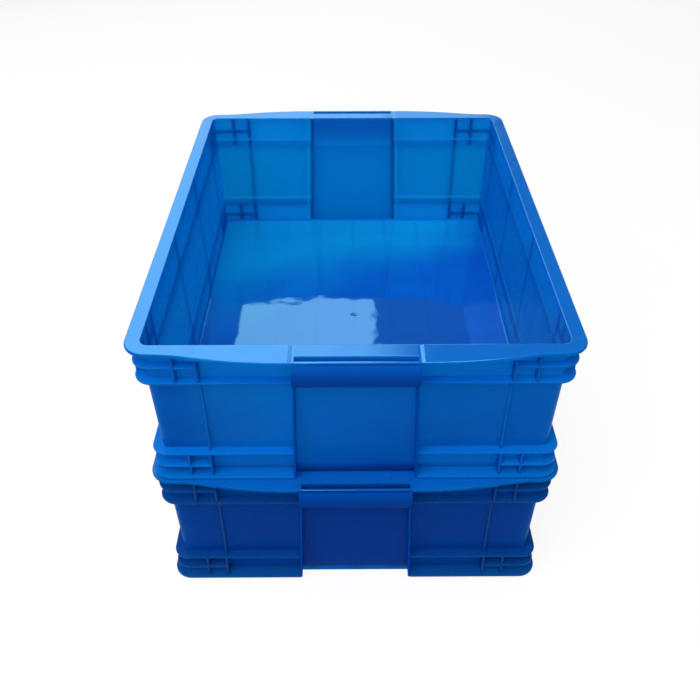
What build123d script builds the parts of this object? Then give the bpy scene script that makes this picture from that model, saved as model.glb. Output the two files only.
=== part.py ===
"""A stack of two identical moulded crates, each divided along its moulded members.

Millimetres, +Z up, origin on the ground under the middle of the stack, +Y along the length.
The front end is the one at -Y, and left is -X.
"""

import os
from math import atan, degrees, radians, sin, sqrt

from build123d import *

# Outside of one crate
rim_width = 550.0
rim_length = 711.0
end_bow = 16.0
bow_straight_half = 82.0
bow_turn_share = 0.28
stack_pitch = 216.5
nest_depth = 7.0
seat_gap = 0.2

# Rim
rim_flange = 20.0
rim_thickness = 4.0
rim_corner_radius = 30.0

# Walls: the lean is measured from the underside of the rim down to the ground
wall_thickness = 3.0
wall_lean = 6.0

# Outside ribs: insets are measured from the rim's outer edge, drops from the rim's top face
rib_thickness = 3.0
upper_rib_inset = 5.5
upper_rib_drop = 48.5
upper_corner_rib_drop = 24.5
lower_rib_inset = 8.0
lower_rib_drop = 172.0
lower_corner_rib_drop = 194.0
base_flange_inset = 4.0
base_flange_thickness = 4.0
stiffener_inset = 16.0

# Upright webs, as distances from the middle of their wall
end_main_web = 190.0
end_short_web = 218.0
side_middle_web = 90.0
side_main_web = 270.0
side_short_web = 298.0
side_corner_web = 323.0

# Floor and the rib grid under it
floor_depth = 209.0
floor_thickness = 3.0
floor_rib_thickness = 2.5
floor_rib_clearance = 1.0
floor_columns = 8
floor_rows = 12
floor_cell_width = 62.0
floor_cell_length = 54.75

# Hand grips: the pad reaches past the straight end of the rim, and the lip stands out from the bow.
# The ribs beside a grip stand further apart at their feet, by the splay on each side.
bay_half_width = 72.0
bay_splay = 7.0
bay_rib_inset = 5.0
pad_overhang = 4.0
groove_depth = 12.0
channel_thickness = 3.0
lip_stand_out = 1.0
lip_bottom_drop = 43.5
lip_thickness = 4.5
lip_roll_radius = 60.0
lip_roll_lean = 12.0

# Worked out from the values above
crate_height = stack_pitch + nest_depth
rim_underside = crate_height - rim_thickness
half_width = rim_width / 2
half_length = rim_length / 2
end_reach = half_length + end_bow
corner_x = half_width - rim_corner_radius
mouth_y = half_length - rim_flange
lean_angle = degrees(atan(wall_lean / rim_underside))
wall_inset = rim_flange - wall_thickness
bay_rib_outside = bay_half_width + rib_thickness
upper_rib_top = crate_height - upper_rib_drop
lower_rib_top = crate_height - lower_rib_drop
base_flange_top = nest_depth + base_flange_thickness
floor_top = crate_height - floor_depth
floor_underside = floor_top - floor_thickness
lip_reach = end_reach + lip_stand_out
lip_inside = lip_reach - lip_thickness
lip_bottom = crate_height - lip_bottom_drop
roll_height = crate_height - lip_roll_radius * sin(radians(lip_roll_lean))
far = rim_length

ENDS = {"front": -1, "back": 1}
SIDES = {"left": -1, "right": 1}


def slab(x_span, y_span, z_span):
    """A box between two X, two Y and two Z values."""
    spans = (x_span, y_span, z_span)
    sizes = [abs(span[1] - span[0]) for span in spans]
    middle = [(span[0] + span[1]) / 2 for span in spans]
    return Pos(*middle) * Box(*sizes)


def outline(inset):
    """The rounded crate outline, some distance inside the rim's outer edge."""
    width = rim_width - 2 * inset
    length = rim_length - 2 * inset
    return RectangleRounded(width, length, rim_corner_radius - inset)


def leaning_block(inset):
    """A solid whose sides lean inwards from the rim's underside down to the ground."""
    top = Plane.XY.offset(rim_underside) * outline(inset)
    return extrude(top, amount=-rim_underside, taper=lean_angle)


wall_core = leaning_block(wall_inset)
wall_hollow = leaning_block(rim_flange)


def rib_ring(inset, top, thickness=rib_thickness):
    """A flat rib that runs round the outside of the walls."""
    plate = extrude(Plane.XY.offset(top - thickness) * outline(inset), amount=thickness)
    return plate - wall_core


def end_web(x, end, inset, z_span):
    """An upright rib on an end wall."""
    x_span = (x - rib_thickness / 2, x + rib_thickness / 2)
    y_span = (end * mouth_y, end * (half_length - inset))
    return slab(x_span, y_span, z_span)


def side_web(y, side, inset, z_span):
    """An upright rib on a side wall."""
    x_span = (side * (half_width - rim_flange), side * (half_width - inset))
    y_span = (y - rib_thickness / 2, y + rib_thickness / 2)
    return slab(x_span, y_span, z_span)


def end_zone(end, x_span):
    """Everything outside the mouth at one end, between two X values."""
    return slab(x_span, (0, end * far), (0, crate_height))


def bay_wedge(half):
    """Everything between two upright faces that stand further apart at their feet."""
    foot = half + bay_splay
    profile = Polyline(
        (half, crate_height),
        (half, rim_underside),
        (foot, nest_depth),
        (-foot, nest_depth),
        (-half, rim_underside),
        (-half, crate_height),
        close=True,
    )
    return extrude(Plane.XZ * make_face(profile), amount=far, both=True)


def side_zone(side, y_span=(-far, far)):
    """Everything beyond the corner centres on one side, between two Y values."""
    return slab((side * corner_x, side * far), y_span, (0, crate_height))


# Ribs as whole rings, which the members below share out
upper_ring = rib_ring(upper_rib_inset, upper_rib_top)
upper_corner_ring = rib_ring(upper_rib_inset, crate_height - upper_corner_rib_drop)
lower_ring = rib_ring(lower_rib_inset, lower_rib_top)
lower_corner_ring = rib_ring(lower_rib_inset, crate_height - lower_corner_rib_drop)
base_ring = rib_ring(base_flange_inset, base_flange_top, base_flange_thickness)

# Heights that the upright webs fill
upper_band = (upper_rib_top, rim_underside)
plain_band = (lower_rib_top, upper_rib_top - rib_thickness)
lower_band = (base_flange_top, lower_rib_top - rib_thickness)


def floor():
    """The floor plate with the grid of ribs under it."""
    plate = wall_hollow & slab((-far, far), (-far, far), (floor_rib_clearance, floor_top))
    cell_height = floor_underside - floor_rib_clearance
    cell = Box(floor_cell_width - floor_rib_thickness, floor_cell_length - floor_rib_thickness, cell_height)
    middle = Pos(0, 0, floor_rib_clearance + cell_height / 2)
    grid = GridLocations(floor_cell_width, floor_cell_length, floor_columns, floor_rows)
    return plate - [middle * place * cell for place in grid]


def end_wall(end):
    """A flat end wall with its two shallow stiffeners."""
    wall = (wall_core - wall_hollow) & end_zone(end, (-corner_x, corner_x))
    for side in SIDES.values():
        wall += end_web(side * end_main_web, end, stiffener_inset, plain_band) - wall_core
    return wall


def side_wall(side):
    """A side wall with its rounded corners and shallow stiffeners."""
    wall = (wall_core - wall_hollow) & side_zone(side)
    for y in (-side_main_web, -side_middle_web, side_middle_web, side_main_web):
        wall += side_web(y, side, stiffener_inset, plain_band) - wall_core
    return wall


def rim_outline():
    """The rim's outer edge, swelling out at both ends in a short and a long tangent arc."""
    straight_end = (half_width, half_length - rim_corner_radius)
    corner_end = (corner_x, half_length)
    bow_end = (bow_straight_half, end_reach)
    turn_x = corner_x + bow_turn_share * (bow_straight_half - corner_x)
    bow_turn = (turn_x, half_length + bow_turn_share * end_bow)
    corner = TangentArc(straight_end, corner_end, tangent=(0, 1))
    bow_in = TangentArc(corner_end, bow_turn, tangent=(-1, 0))
    bow_out = TangentArc(bow_turn, bow_end, tangent=bow_in % 1)
    quarter = Curve() + [
        Line((half_width, 0), straight_end),
        corner,
        bow_in,
        bow_out,
        Line(bow_end, (0, end_reach)),
    ]
    half = quarter + mirror(quarter, about=Plane.YZ)
    return make_face(half + mirror(half, about=Plane.XZ))


def rim_ring():
    """The whole flat rim, with room left for the hand grips."""
    ring = extrude(Plane.XY.offset(rim_underside) * rim_outline(), amount=rim_thickness)
    ring -= extrude(Plane.XY.offset(rim_underside) * outline(rim_flange), amount=rim_thickness)
    for end in ENDS.values():
        y_span = (end * mouth_y, end * far)
        ring -= slab((-bay_half_width, bay_half_width), y_span, (rim_underside, crate_height))
    return ring


def end_rim(ring, end):
    """The two wings of the rim beside a hand grip."""
    return ring & slab((-far, far), (end * mouth_y, end * far), (rim_underside, crate_height))


def side_rim(ring, side):
    """The rim along one side, up to the ends of the mouth."""
    return ring & slab((0, side * far), (-mouth_y, mouth_y), (rim_underside, crate_height))


def roll_point(z, set_in=0.0):
    """A point on the rolled face of the back lip, or some way behind it, as (y, z)."""
    y = lip_reach - lip_roll_radius + sqrt(lip_roll_radius**2 - (z - roll_height) ** 2)
    return (y - set_in, z)


def roll_arc(low, high, set_in=0.0):
    """An arc of the rolled face between two heights."""
    points = [roll_point(z, set_in) for z in (low, (low + high) / 2, high)]
    return ThreePointArc(*points)


def grip_lip():
    """The hanging lip of the back hand grip, rolled in towards its free edge."""
    edges = [
        roll_arc(lip_bottom, crate_height),
        Line(roll_point(crate_height), (lip_inside, crate_height)),
        Line((lip_inside, crate_height), roll_point(roll_height, lip_thickness)),
        roll_arc(lip_bottom, roll_height, lip_thickness),
        Line(roll_point(lip_bottom, lip_thickness), roll_point(lip_bottom)),
    ]
    profile = Plane.YZ * make_face(Curve() + edges)
    return extrude(profile, amount=bay_rib_outside + bay_splay, both=True) & bay_wedge(bay_half_width)


def grip_channel():
    """The rim pad and the groove behind the lip of the back hand grip."""
    pad_edge = half_length + pad_overhang
    groove_floor = crate_height - groove_depth
    profile = Polyline(
        (mouth_y, crate_height),
        (pad_edge, crate_height),
        (pad_edge, groove_floor),
        (lip_inside, groove_floor),
        (lip_inside, groove_floor - channel_thickness),
        (pad_edge - channel_thickness, groove_floor - channel_thickness),
        (pad_edge - channel_thickness, rim_underside),
        (mouth_y, rim_underside),
        close=True,
    )
    strip = extrude(Plane.YZ * make_face(profile), amount=bay_rib_outside + bay_splay, both=True)
    return (strip & bay_wedge(bay_half_width)) - grip_lip()


def bay_rib():
    """The full-height web beside the back hand grip, on the right."""
    web_y = half_length - bay_rib_inset
    root_y = mouth_y - rim_flange
    edges = [
        Line((root_y, nest_depth), (web_y, nest_depth)),
        Line((web_y, nest_depth), (web_y, upper_rib_top)),
        Line((web_y, upper_rib_top), roll_point(lip_bottom)),
        roll_arc(lip_bottom, rim_underside),
        Line(roll_point(rim_underside), (root_y, rim_underside)),
        Line((root_y, rim_underside), (root_y, nest_depth)),
    ]
    profile = Plane.YZ * make_face(Curve() + edges)
    block = extrude(profile, amount=bay_rib_outside + bay_splay)
    return (block & bay_wedge(bay_rib_outside)) - bay_wedge(bay_half_width) - wall_core


def beside_bay(side, end):
    """Everything at one end between a bay rib and the corner centre."""
    return end_zone(end, (0, side * corner_x)) - bay_wedge(bay_rib_outside)


def end_upper_ribs(side, end):
    """Ribs under the rim, between a hand-grip bay and a corner."""
    stretch = beside_bay(side, end)
    corner_stretch = end_zone(end, (side * end_main_web, side * corner_x))
    ribs = (upper_ring & stretch) + (upper_corner_ring & corner_stretch)
    for x in (end_main_web, end_short_web):
        ribs += end_web(side * x, end, upper_rib_inset, upper_band) - wall_core
    return ribs


def end_lower_ribs(side, end):
    """Lower ribs and base flange, between a hand-grip bay and a corner."""
    stretch = beside_bay(side, end)
    corner_stretch = end_zone(end, (side * end_main_web, side * corner_x))
    ribs = (lower_ring & stretch) + (base_ring & stretch) + (lower_corner_ring & corner_stretch)
    for x in (end_main_web, end_short_web):
        ribs += end_web(side * x, end, lower_rib_inset, lower_band) - wall_core
    return ribs


def side_webs(side, inset, z_span):
    """All upright webs in one band of a side wall."""
    places = [side_middle_web, side_main_web, side_short_web, side_corner_web]
    webs = [side_web(sign * y, side, inset, z_span) for y in places for sign in (-1, 1)]
    return [web - wall_core for web in webs]


def side_upper_ribs(side):
    """Ribs under the rim along a side and round its corners."""
    ribs = upper_ring & side_zone(side)
    for end in ENDS.values():
        ribs += upper_corner_ring & side_zone(side, (end * side_main_web, end * far))
    for web in side_webs(side, upper_rib_inset, upper_band):
        ribs += web
    return ribs


def side_lower_ribs(side):
    """Lower ribs and base flange along a side and round its corners."""
    ribs = (lower_ring & side_zone(side)) + (base_ring & side_zone(side))
    for end in ENDS.values():
        ribs += lower_corner_ring & side_zone(side, (end * side_main_web, end * far))
    for web in side_webs(side, lower_rib_inset, lower_band):
        ribs += web
    return ribs


def at_end(shape, end):
    """Turn a member made for the back end round to the end asked for."""
    return shape if end > 0 else mirror(shape, about=Plane.XZ)


def at_side(shape, side):
    """Turn a member made for the right side round to the side asked for."""
    return shape if side > 0 else mirror(shape, about=Plane.YZ)


def crate_members():
    """Every moulded member of one crate standing on the ground, by name."""
    members = {"floor": floor()}
    ring = rim_ring()
    for end_name, end in ENDS.items():
        members[f"{end_name}_wall"] = end_wall(end)
        members[f"{end_name}_rim"] = end_rim(ring, end)
        members[f"{end_name}_grip_channel"] = at_end(grip_channel(), end)
        members[f"{end_name}_grip_lip"] = at_end(grip_lip(), end)
        for side_name, side in SIDES.items():
            corner = f"{end_name}_{side_name}"
            members[f"{corner}_bay_rib"] = at_side(at_end(bay_rib(), end), side)
            members[f"{corner}_upper_ribs"] = end_upper_ribs(side, end)
            members[f"{corner}_lower_ribs"] = end_lower_ribs(side, end)
    for side_name, side in SIDES.items():
        members[f"{side_name}_wall"] = side_wall(side)
        members[f"{side_name}_rim"] = side_rim(ring, side)
        members[f"{side_name}_upper_ribs"] = side_upper_ribs(side)
        members[f"{side_name}_lower_ribs"] = side_lower_ribs(side)
    return members


os.makedirs("parts", exist_ok=True)
for member, shape in crate_members().items():
    export_step(shape, f"parts/lower_{member}.step")
    export_step(Pos(0, 0, stack_pitch + seat_gap) * shape, f"parts/upper_{member}.step")
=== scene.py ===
"""Visual model of two stacked moulded crates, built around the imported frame.

Metres, +Z up, +Y along the length. The front end is the one at -Y, and left is -X.
Each piece is made once for a crate standing on the ground, and again for the crate stacked on it.
"""

from collections import namedtuple
from math import copysign, cos, pi, radians, sin, sqrt

import bmesh
import bpy
from mathutils import Matrix, Vector


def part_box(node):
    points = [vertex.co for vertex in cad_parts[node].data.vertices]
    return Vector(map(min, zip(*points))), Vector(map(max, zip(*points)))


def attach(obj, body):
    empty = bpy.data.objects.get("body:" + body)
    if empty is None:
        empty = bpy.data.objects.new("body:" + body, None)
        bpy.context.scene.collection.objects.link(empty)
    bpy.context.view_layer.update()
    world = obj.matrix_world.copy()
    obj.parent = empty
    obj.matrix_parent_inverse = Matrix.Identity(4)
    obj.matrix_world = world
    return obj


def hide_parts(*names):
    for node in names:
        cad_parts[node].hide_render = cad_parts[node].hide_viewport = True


bl_info = {
    "name": "Stacking Crate",
    "version": (1, 0, 0),
    "blender": (4, 5, 0),
    "location": "3D View > Sidebar > Crate",
    "description": "Makes the moulded pieces of two stacked crates and the studio around them",
    "category": "Add Mesh",
}

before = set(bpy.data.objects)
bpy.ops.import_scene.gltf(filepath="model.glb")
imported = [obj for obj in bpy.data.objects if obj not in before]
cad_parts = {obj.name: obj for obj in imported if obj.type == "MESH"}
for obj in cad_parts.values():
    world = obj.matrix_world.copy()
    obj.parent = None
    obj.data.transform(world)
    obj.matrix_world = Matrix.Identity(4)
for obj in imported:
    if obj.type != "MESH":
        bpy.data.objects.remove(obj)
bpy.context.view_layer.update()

X, Y, Z = 0, 1, 2
TINY = 1e-6
SLACK = 0.0002
SPLAY_FADE = 0.020
CRATES = ("lower", "upper")
ENDS = {"front": -1, "back": 1}
SIDES = {"left": -1, "right": 1}


# Sizes, finish and stage

def node_low(node, axis):
    """Lowest value of a CAD node along one axis."""
    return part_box(node)[0][axis]


def node_high(node, axis):
    """Highest value of a CAD node along one axis."""
    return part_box(node)[1][axis]


def length(name, description, default):
    """A length that the user can change."""
    return bpy.props.FloatProperty(
        name=name, description=description, default=default, subtype="DISTANCE", unit="LENGTH", precision=4
    )


def colour(name, description, default):
    """A colour that the user can change."""
    return bpy.props.FloatVectorProperty(
        name=name, description=description, default=default, subtype="COLOR", size=3, min=0.0, max=1.0
    )


def share(name, description, default):
    """A value from 0 to 1 that the user can change."""
    return bpy.props.FloatProperty(
        name=name, description=description, default=default, subtype="FACTOR", min=0.0, max=1.0
    )


def strength(name, description, default):
    """A light level that the user can change."""
    return bpy.props.FloatProperty(name=name, description=description, default=default, min=0.0)


class CrateSizes(bpy.types.PropertyGroup):
    """Sizes of one crate and of the stack."""

    rim_width: length("Rim width", "Width over the rim", 2 * node_high("lower_right_rim", X))
    rim_length: length("Rim length", "Length over the rim's corners, without the bow", 0.711)
    end_reach: length("End reach", "Middle of the crate to the bowed end", node_high("lower_back_rim", Y))
    bow_straight_half: length("Bow straight", "Half of the straight stretch of the bow", 0.082)
    bow_turn_share: share("Bow turn", "Share of the bow's rise at which it turns", 0.28)
    height: length("Height", "Ground to the top of the rim", node_high("lower_left_rim", Z))
    stack_lift: length(
        "Stack lift", "How far the upper crate stands above the lower one", node_low("upper_left_wall", Z)
    )
    rim_flange: length("Rim flange", "Rim's outer edge to the mouth", 0.020)
    rim_underside: length("Rim underside", "Ground to the rim's underside", node_low("lower_left_rim", Z))
    corner_radius: length("Corner radius", "Radius of the rim's corners", 0.030)
    wall_thickness: length("Wall thickness", "Thickness of the walls", 0.003)
    wall_lean: length("Wall lean", "How far the walls lean in from the rim to the ground", 0.006)
    nest_depth: length("Nest depth", "How deep the foot sits in the crate below", 0.007)
    rib_thickness: length("Rib thickness", "Thickness of ribs and webs", 0.003)
    upper_rib_inset: length("Upper rib inset", "Rim's edge to the tip of the upper ribs", 0.0055)
    upper_rib_top: length("Upper rib", "Ground to the top of the upper rib", 0.175)
    upper_corner_rib_top: length("Upper corner rib", "Ground to the top of the rib near the rim", 0.199)
    lower_rib_inset: length("Lower rib inset", "Rim's edge to the tip of the lower ribs", 0.008)
    lower_rib_top: length("Lower rib", "Ground to the top of the lower rib", 0.0515)
    lower_corner_rib_top: length("Lower corner rib", "Ground to the top of the rib near the base", 0.0295)
    flange_inset: length("Base flange inset", "Rim's edge to the tip of the base flange", 0.004)
    flange_thickness: length("Base flange thickness", "Thickness of the base flange", 0.004)
    stiffener_inset: length("Stiffener inset", "Rim's edge to the face of the wall stiffeners", 0.016)
    end_main_web: length("End main web", "Middle of an end wall to its long web", 0.190)
    end_short_web: length("End short web", "Middle of an end wall to its short web", 0.218)
    side_middle_web: length("Side middle web", "Middle of a side wall to its first web", 0.090)
    side_main_web: length("Side main web", "Middle of a side wall to its long web", 0.270)
    side_short_web: length("Side short web", "Middle of a side wall to its short web", 0.298)
    side_corner_web: length("Side corner web", "Middle of a side wall to the web beside its corner", 0.323)
    floor_top: length("Floor", "Ground to the top of the floor", node_high("lower_floor", Z))
    floor_thickness: length("Floor thickness", "Thickness of the floor plate", 0.003)
    floor_fillet: length("Floor fillet", "Radius between the floor and the walls", 0.0035)
    floor_crown: length("Floor crown", "How far the floor swells up in the middle", 0.007)
    floor_rib_bottom: length("Floor ribs", "Ground to the floor ribs", node_low("lower_floor", Z))
    floor_rib_thickness: length("Floor rib thickness", "Thickness of the ribs under the floor", 0.0025)
    floor_cell_width: length("Cell width", "Width of a cell of the grid under the floor", 0.062)
    floor_cell_length: length("Cell length", "Length of a cell of the grid under the floor", 0.05475)
    floor_columns: bpy.props.IntProperty(
        name="Columns", description="Cells across the width of the grid under the floor", default=8, min=1
    )
    floor_rows: bpy.props.IntProperty(
        name="Rows", description="Cells along the length of the grid under the floor", default=12, min=1
    )
    gate_radius: length("Gate mark", "Radius of the moulding mark in the middle of the floor", 0.0042)
    bay_half_width: length("Grip half width", "Half the width of a hand grip under the rim", 0.072)
    bay_splay: length("Bay splay", "How much further out each bay rib stands at its foot", 0.007)
    bay_rib_inset: length("Bay rib inset", "Straight rim edge to the edge of a bay rib", 0.005)
    pad_overhang: length("Pad overhang", "How far a grip pad reaches past the rim's straight end", 0.004)
    pad_seam_width: length("Pad seam width", "Width of the shallow seam beside a grip pad", 0.0075)
    pad_seam_depth: length("Pad seam depth", "Depth of the shallow seam beside a grip pad", 0.0005)
    groove_floor: length("Grip groove", "Ground to the floor of the groove behind a grip lip", 0.2115)
    channel_thickness: length("Channel thickness", "Thickness of the groove behind a grip lip", 0.003)
    lip_reach: length("Lip reach", "Middle of the crate to a grip lip", node_high("lower_back_grip_lip", Y))
    lip_bottom: length("Lip bottom", "Ground to the bottom of a grip lip", 0.180)
    lip_thickness: length("Lip thickness", "Thickness of a grip lip", 0.0045)
    lip_roll_radius: length("Lip roll", "Radius of the rolled face of a grip lip", 0.060)
    lip_roll_lean: bpy.props.FloatProperty(
        name="Lip lean",
        description="How far the top of a grip lip leans in",
        default=radians(12),
        subtype="ANGLE",
    )
    rim_edge_radius: length("Rim edge radius", "Rounding of the rim's edges", 0.0018)
    edge_radius: length("Edge radius", "Rounding of the other moulded edges", 0.0006)
    rib_edge_radius: length("Rib edge radius", "Rounding along the ribs", 0.0008)


class PlasticFinish(bpy.types.PropertyGroup):
    """Colours and surface of the plastic."""

    blue: colour("Blue", "Main colour of the plastic", (0.002, 0.141, 0.605))
    # Deep blue also serves as painted shade: all over the lower crate, past the long webs, behind the grips
    # inside, and along ribs seen through the walls and floor.
    deep_blue: colour("Deep blue", "Colour of its darker clouds", (0.002, 0.069, 0.382))
    # Painted shade: the lower crate's ribs are darker, as it stands in the shade of the upper one.
    shaded_rib_blue: colour("Rib blue", "Colour of the lower crate's ribs", (0.004, 0.062, 0.340))
    # Painted light: the flat tops of the upper crate's ribs, grooves and floor fillets are paler, as light
    # falls on them.
    lit_rib_top_blue: colour("Pale rib", "Colour of the upper crate's ribs", (0.003, 0.230, 0.800))
    # Painted shade: the bay ribs and the feet of the grip lips are darker. Painted light: the grip lips run
    # paler towards their tops.
    shaded_grip_blue: colour("Grip blue", "Colour of the bay ribs and the lips' feet", (0.001, 0.080, 0.520))
    lit_grip_top_blue: colour("Pale grip", "Colour of the top of the grip lips", (0.003, 0.145, 0.690))
    rim_blue: colour("Rim blue", "Colour of the top of the rim", (0.003, 0.176, 0.750))
    # Painted light: paler walls between the ribs and on the left of the end walls, where more light falls and
    # shines through.
    painted_light_blue: colour("Pale blue", "Colour of the walls between the ribs", (0.008, 0.300, 0.800))
    # Painted glow: the insides of the walls take these colours in place of light shining through them, the
    # end walls more than the sides.
    glow_blue: colour("Glow blue", "Colour of the inside of the side walls", (0.002, 0.075, 0.540))
    end_glow: colour("End glow", "Colour of the inside of the end walls", (0.002, 0.148, 0.405))
    # Painted light: the floor runs paler towards its back left, where more light falls.
    floor_blue: colour("Floor blue", "Colour of the floor towards its front right", (0.003, 0.136, 0.680))
    lit_floor_blue: colour("Pale floor", "Colour of the floor towards its back left", (0.003, 0.410, 0.850))
    through_blue: colour("Light through", "Colour of light that shines through", (0.010, 0.660, 1.0))
    # Painted highlight: pale lines beside the ribs seen through the walls, where their lit faces show.
    glint: colour("Glint", "Colour of pale lines beside ribs that show through", (0.010, 0.330, 0.750))
    scuff: colour("Scuff", "Colour of rubbed edges", (0.16, 0.36, 0.72))
    roughness: share("Roughness", "Roughness of the outside", 0.27)
    grip_roughness: share("Grip roughness", "Roughness of the grip lips and bay ribs", 0.42)
    rim_roughness: share("Rim roughness", "Roughness of the top of the rim", 0.15)
    inside_roughness: share("Inside roughness", "Roughness of the inside walls", 0.30)
    floor_roughness: share("Floor roughness", "Roughness of the polished floor", 0.035)
    translucency: share("Translucency", "How much of the light that is not reflected passes through", 0.55)
    rib_translucency: share("Rib translucency", "The same for the ribs and grip lips", 0.25)
    floor_translucency: share("Floor translucency", "The same for the rim and the floor", 0.12)
    gloss_tint: colour("Gloss tint", "Tint of the walls' reflections seen head on", (0.02, 0.55, 1.0))
    polish_tint: colour("Polish tint", "Tint of the rim's and floor's reflections", (0.24, 0.71, 1.0))
    gloss_level: share("Gloss", "Strength of the walls' reflections seen head on", 0.25)
    polish_level: share("Polish", "Strength of the rim's and floor's reflections seen head on", 0.45)
    rib_shade: share("Rib shade", "How dark ribs show through the walls", 0.80)


class StudioStage(bpy.types.PropertyGroup):
    """Studio floor, light and camera."""

    floor_colour: colour("Floor", "Colour of the studio floor", (0.96, 0.96, 0.96))
    world_level: strength("World", "Level of the even light", 0.08)
    horizon_level: strength("Horizon", "Level of the pale horizon", 0.95)
    floor_glow: share("Floor glow", "Share of the floor's paleness that no shadow darkens", 0.89)
    card_level: strength("Back card", "Power of the large card behind on the left, in watts", 50.0)
    fill_level: strength("Back fill", "Power of the light beside that card that no reflection shows", 29.0)
    pad_level: strength("Pad card", "Power of the small card that the front pad reflects, in watts", 0.20)
    side_level: strength("Side card", "Power of the small light behind on the right, in watts", 3.4)
    box_level: strength("Front box", "Power of the soft light above the front, in watts", 152.0)
    top_level: strength("Top box", "Power of the soft light above the crates, in watts", 20.0)
    lens: bpy.props.FloatProperty(
        name="Lens", description="Focal length of the camera, in millimetres", default=40.69, min=1.0
    )


class Layout:
    """Distances that follow from the crate's sizes."""

    def __init__(self, s):
        self.half_width = s.rim_width / 2
        self.half_length = s.rim_length / 2
        self.corner_x = self.half_width - s.corner_radius
        self.corner_y = self.half_length - s.corner_radius
        self.end_bow = s.end_reach - self.half_length
        self.lean = s.wall_lean / s.rim_underside
        self.bay_rib_outside = s.bay_half_width + s.rib_thickness
        self.seam_outside = s.bay_half_width + s.pad_seam_width
        self.plain_top = s.upper_rib_top - s.rib_thickness
        self.flange_top = s.nest_depth + s.flange_thickness
        self.roll_height = s.height - s.lip_roll_radius * sin(s.lip_roll_lean)
        self.bay_slope = s.bay_splay / (s.rim_underside - s.nest_depth)
        self.sizes = s

    def skin_inset(self, z):
        """Rim's edge to the outside of the wall at a height."""
        s = self.sizes
        return s.rim_flange - s.wall_thickness + self.lean * max(0.0, s.rim_underside - z)

    def inside_inset(self, z):
        """Rim's edge to the inside of the wall at a height."""
        return self.skin_inset(z) + self.sizes.wall_thickness

    def is_inside(self, point):
        """True if a point lies inside the walls or on their inner faces."""
        inset = self.inside_inset(point.z) - SLACK
        return abs(point.x) < self.half_width - inset and abs(point.y) < self.half_length - inset

    def splay(self, z):
        """How much further from the middle a bay rib stands at a height than under the rim."""
        s = self.sizes
        return self.bay_slope * (s.rim_underside - min(max(z, s.nest_depth), s.rim_underside))

    def splayed(self, x, z):
        """A place on an end wall, moved out with the bay ribs if it is near them."""
        edge = self.bay_rib_outside + SPLAY_FADE
        if not self.sizes.bay_half_width - TINY < abs(x) < edge:
            return x
        fade = min(1.0, (edge - abs(x)) / (edge - self.bay_rib_outside))
        return x + copysign(fade * self.splay(z), x)

    def lip_face(self, z):
        """Middle of the crate to the rolled face of a grip lip at a height."""
        s = self.sizes
        return s.lip_reach - s.lip_roll_radius + sqrt(s.lip_roll_radius**2 - (z - self.roll_height) ** 2)

    def lip_back(self, z):
        """Middle of the crate to the back of a grip lip at a height."""
        return self.lip_face(min(z, self.roll_height)) - self.sizes.lip_thickness

    def is_in_groove(self, point):
        """True if a point lies in the groove between a grip lip and its pad."""
        s = self.sizes
        if abs(point.x) > s.bay_half_width + SLACK or point.z < s.groove_floor - SLACK:
            return False
        pad_face = self.half_length + s.pad_overhang
        return pad_face - SLACK < abs(point.y) < self.lip_back(point.z) + SLACK

    def is_at_groove_end(self, point):
        """True if a point lies on the short top edge at an end of a grip groove, which stays sharp."""
        s = self.sizes
        return abs(abs(point.x) - s.bay_half_width) < SLACK and point.z > s.height - s.rim_edge_radius - SLACK

    def is_on_grip_web(self, point):
        """True if a point lies on a grip lip, or on a bay rib outside the wall."""
        s = self.sizes
        across = abs(point.x) - self.splay(point.z)
        if across > self.bay_rib_outside + SLACK or not s.nest_depth - SLACK < point.z < s.height - SLACK:
            return False
        if across > s.bay_half_width - s.edge_radius - SLACK:
            return abs(point.y) > self.half_length - self.skin_inset(point.z) + SLACK
        return point.z > s.lip_bottom - SLACK and abs(point.y) > self.lip_back(point.z) - SLACK

    def is_on_stiffener(self, point):
        """True if a point lies on a shallow stiffener of a wall."""
        s = self.sizes
        if not s.lower_rib_top - SLACK < point.z < self.plain_top + SLACK:
            return False
        inset = self.skin_inset(point.z) + SLACK
        if abs(point.y) > self.half_length - inset:
            return abs(abs(point.x) - s.end_main_web) < s.rib_thickness
        from_web = min(abs(abs(point.y) - web) for web in (s.side_middle_web, s.side_main_web))
        return abs(point.x) > self.half_width - inset and from_web < s.rib_thickness

    def bow(self, x):
        """How far the rim stands out beyond its straight end at a distance from the middle."""
        run = self.corner_x - self.sizes.bow_straight_half
        radius = (run**2 + self.end_bow**2) / (2 * self.end_bow)
        turn = self.sizes.bow_turn_share
        from_corner = self.corner_x - abs(x)
        if from_corner >= run:
            return self.end_bow
        if from_corner <= turn * run:
            return turn * radius - sqrt((turn * radius) ** 2 - from_corner**2)
        rest = (1.0 - turn) * radius
        return self.end_bow - rest + sqrt(rest**2 - (run - from_corner) ** 2)


# Helpers for node trees and meshes

def is_socket(value):
    """True for an input or output of a node."""
    return isinstance(value, bpy.types.NodeSocket)


def add_node(tree, kind, inputs=None, **settings):
    """A node with its settings, and each input set to a value or linked to a socket."""
    node = tree.nodes.new(kind)
    for name, value in settings.items():
        setattr(node, name, value)
    for key, value in (inputs or {}).items():
        if is_socket(value):
            tree.links.new(value, node.inputs[key])
        else:
            node.inputs[key].default_value = value
    return node


def result(tree, kind, inputs=None, **settings):
    """The first output of a new node."""
    return add_node(tree, kind, inputs, **settings).outputs[0]


def maths(tree, operation, *values):
    """The result of a Math node."""
    return result(tree, "ShaderNodeMath", dict(enumerate(values)), operation=operation)


def times(tree, first, second):
    """The product of two values."""
    return maths(tree, "MULTIPLY", first, second)


def most(tree, *values):
    """The largest of several values."""
    largest = values[0]
    for value in values[1:]:
        largest = maths(tree, "MAXIMUM", largest, value)
    return largest


def vector(tree, **axes):
    """A vector with some of its axes set."""
    return result(tree, "ShaderNodeCombineXYZ", axes)


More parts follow.
